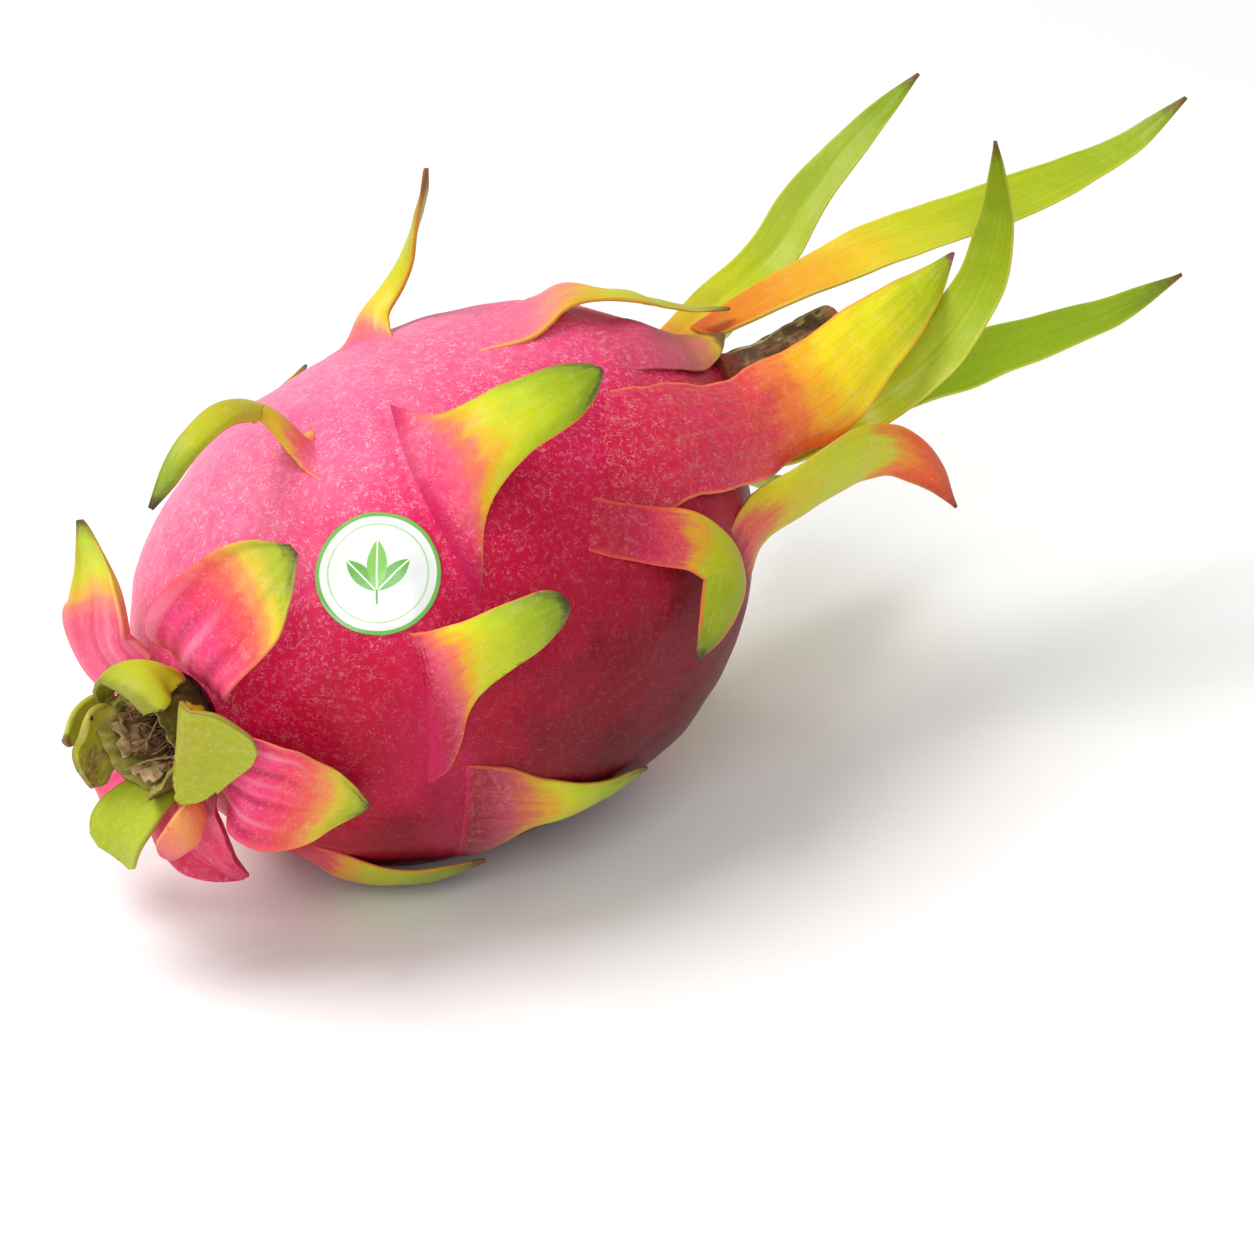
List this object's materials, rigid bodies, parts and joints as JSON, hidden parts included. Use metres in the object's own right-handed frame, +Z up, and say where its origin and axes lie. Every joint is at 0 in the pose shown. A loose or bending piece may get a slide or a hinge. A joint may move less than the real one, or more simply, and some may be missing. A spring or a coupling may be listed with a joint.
{
  "type": "dragon fruit",
  "caption": "Whole dragon fruit lying on its side, with pink skin, green-tipped side bracts, a crown of long leaves, a cut stem, a dried navel and a plain round sticker.",
  "frame": {"origin": "centre of the small flat spot on the fruit's belly that it rests on, below the fruit's widest section", "axes": "+X along the fruit from the navel (flower) end to the stem end and crown, +Y to the far side, +Z up from the table"},
  "size_m": [0.2382, 0.1052, 0.1153],
  "materials": {
    "skin": "satin fruit skin, light pink on top to crimson below, with pale dots and a thin whitish bloom",
    "side_bract": "satin, pink at the root, then orange, yellow and green to a dark tip",
    "petal_bract": "satin, pink with lengthwise ribs and a yellow-green tip",
    "crown_bract": "satin, red-pink at the root, then orange, yellow and green, with fine parallel veins",
    "crown_leaf": "satin, yellow-green with fine parallel veins",
    "navel_bract": "matt, olive and lime green with dried brown edges",
    "flower_remnant": "matt, dry brown fibres",
    "stem": "matt, brown corky bark with a salmon-pink cut end",
    "sticker": "gloss-coated white paper with a plain rim and a simple leaf shape, no words"
  },
  "bodies": {
    "root": {"belly_bract_far": "side_bract", "belly_bract_near": "side_bract", "belly_bract_stem_end": "side_bract", "crown_bract_arched": "crown_bract", "crown_bract_far": "crown_bract", "crown_bract_inner": "crown_bract", "crown_bract_low": "crown_bract", "crown_bract_near": "crown_bract", "crown_bract_top": "crown_bract", "crown_leaf_far": "crown_leaf", "crown_leaf_front": "crown_leaf", "crown_leaf_low": "crown_leaf", "crown_leaf_middle": "crown_leaf", "crown_leaf_rear": "crown_leaf", "crown_leaf_upright": "crown_leaf", "flower_remnant": "flower_remnant", "fruit_body": "skin", "navel_bract_far": "navel_bract", "navel_bract_low": "navel_bract", "navel_bract_near": "navel_bract", "navel_bract_outer": "navel_bract", "navel_bract_small": "navel_bract", "navel_bract_top": "navel_bract", "petal_bract_far": "petal_bract", "petal_bract_low": "petal_bract", "petal_bract_low_far": "petal_bract", "petal_bract_near": "petal_bract", "petal_bract_top": "petal_bract", "side_bract_low_far": "side_bract", "side_bract_low_near": "side_bract", "side_bract_middle_far": "side_bract", "side_bract_middle_near": "side_bract", "side_bract_shoulder_far": "side_bract", "side_bract_shoulder_near": "side_bract", "side_bract_top_curled": "side_bract", "side_bract_top_upright": "side_bract", "side_bract_upper_far": "side_bract", "side_bract_upper_near": "side_bract", "stem_stub": "stem", "sticker": "sticker"}
  },
  "joints": []
}
